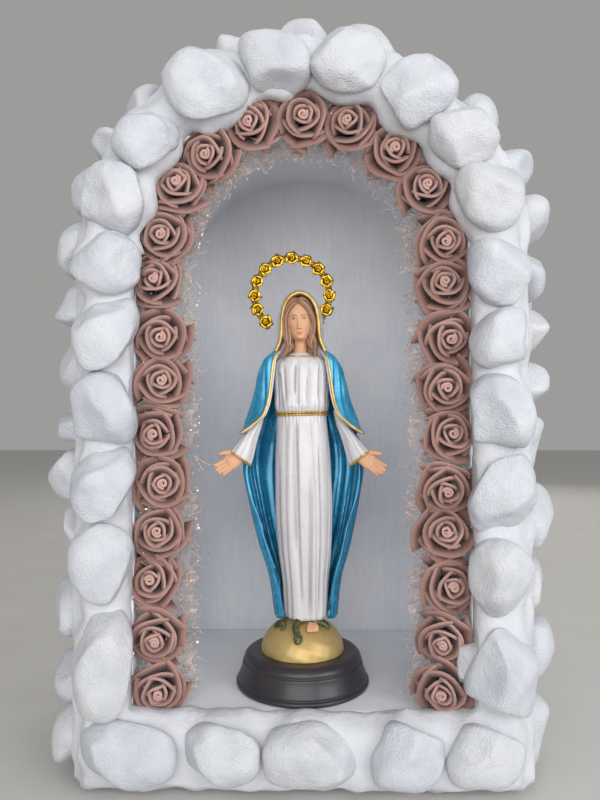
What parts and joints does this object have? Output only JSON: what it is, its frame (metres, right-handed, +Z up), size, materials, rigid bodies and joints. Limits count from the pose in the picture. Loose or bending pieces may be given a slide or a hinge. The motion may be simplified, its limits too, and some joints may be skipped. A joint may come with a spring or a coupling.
{
  "type": "tabletop grotto shrine",
  "caption": "Tabletop arched grotto faced with white pebbles and lined with foam roses and net, with a robed figurine on a round pedestal standing in the niche.",
  "frame": {"origin": "middle of the underside, on the face of the felt sheet that the shrine rests on", "axes": "+Z up, the niche opens towards -Y, +X to the viewer's right"},
  "size_m": [0.2496, 0.1439, 0.3657],
  "materials": {
    "felt": "short matt felt",
    "shell_paint": "brushed matt white paint on rigid foam",
    "floor_paint": "stippled matt white paint",
    "plaster": "smoothed white filler",
    "marble": "tumbled white marble pebbles with a fine sugary grain",
    "foam_rose": "soft matt foam sheet",
    "tulle": "sheer net with fine metallic threads",
    "pedestal_dark": "satin dark brown-black",
    "globe_gold": "pearly gold paint",
    "snake_green": "dark green paint over gold",
    "gown_white": "pearl white paint",
    "gold_trim": "gold paint",
    "cloak_blue": "metallic blue paint",
    "skin": "matt skin-tone paint",
    "hair_brown": "matt brown paint",
    "halo_gold": "bright gold plate"
  },
  "bodies": {
    "root": {"felt_sheet": "felt", "base_block": "shell_paint", "niche_floor": "floor_paint", "left_wall": "shell_paint", "right_wall": "shell_paint", "arch_vault": "shell_paint", "back_panel": "shell_paint", "plaster_kerb": "plaster", "plaster_front_left": "plaster", "plaster_front_right": "plaster", "plaster_front_arch": "plaster", "plaster_side_left": "plaster", "plaster_side_right": "plaster", "plaster_top": "plaster", "kerb_stones": "marble", "rim_stones_left": "marble", "rim_stones_right": "marble", "rim_stones_arch": "marble", "side_stones_left": "marble", "side_stones_right": "marble", "top_stones": "marble", "roses_left": "foam_rose", "roses_right": "foam_rose", "roses_arch": "foam_rose", "net_left": "tulle", "net_right": "tulle", "net_arch": "tulle", "pedestal": "pedestal_dark", "globe": "globe_gold", "snake": "snake_green", "gown": "gown_white", "belt": "gold_trim", "cloak": "cloak_blue", "veil": "gown_white", "head": "skin", "hair": "hair_brown", "left_sleeve": "gown_white", "right_sleeve": "gown_white", "left_hand": "skin", "right_hand": "skin", "toe": "skin", "halo": "halo_gold"}
  },
  "joints": []
}
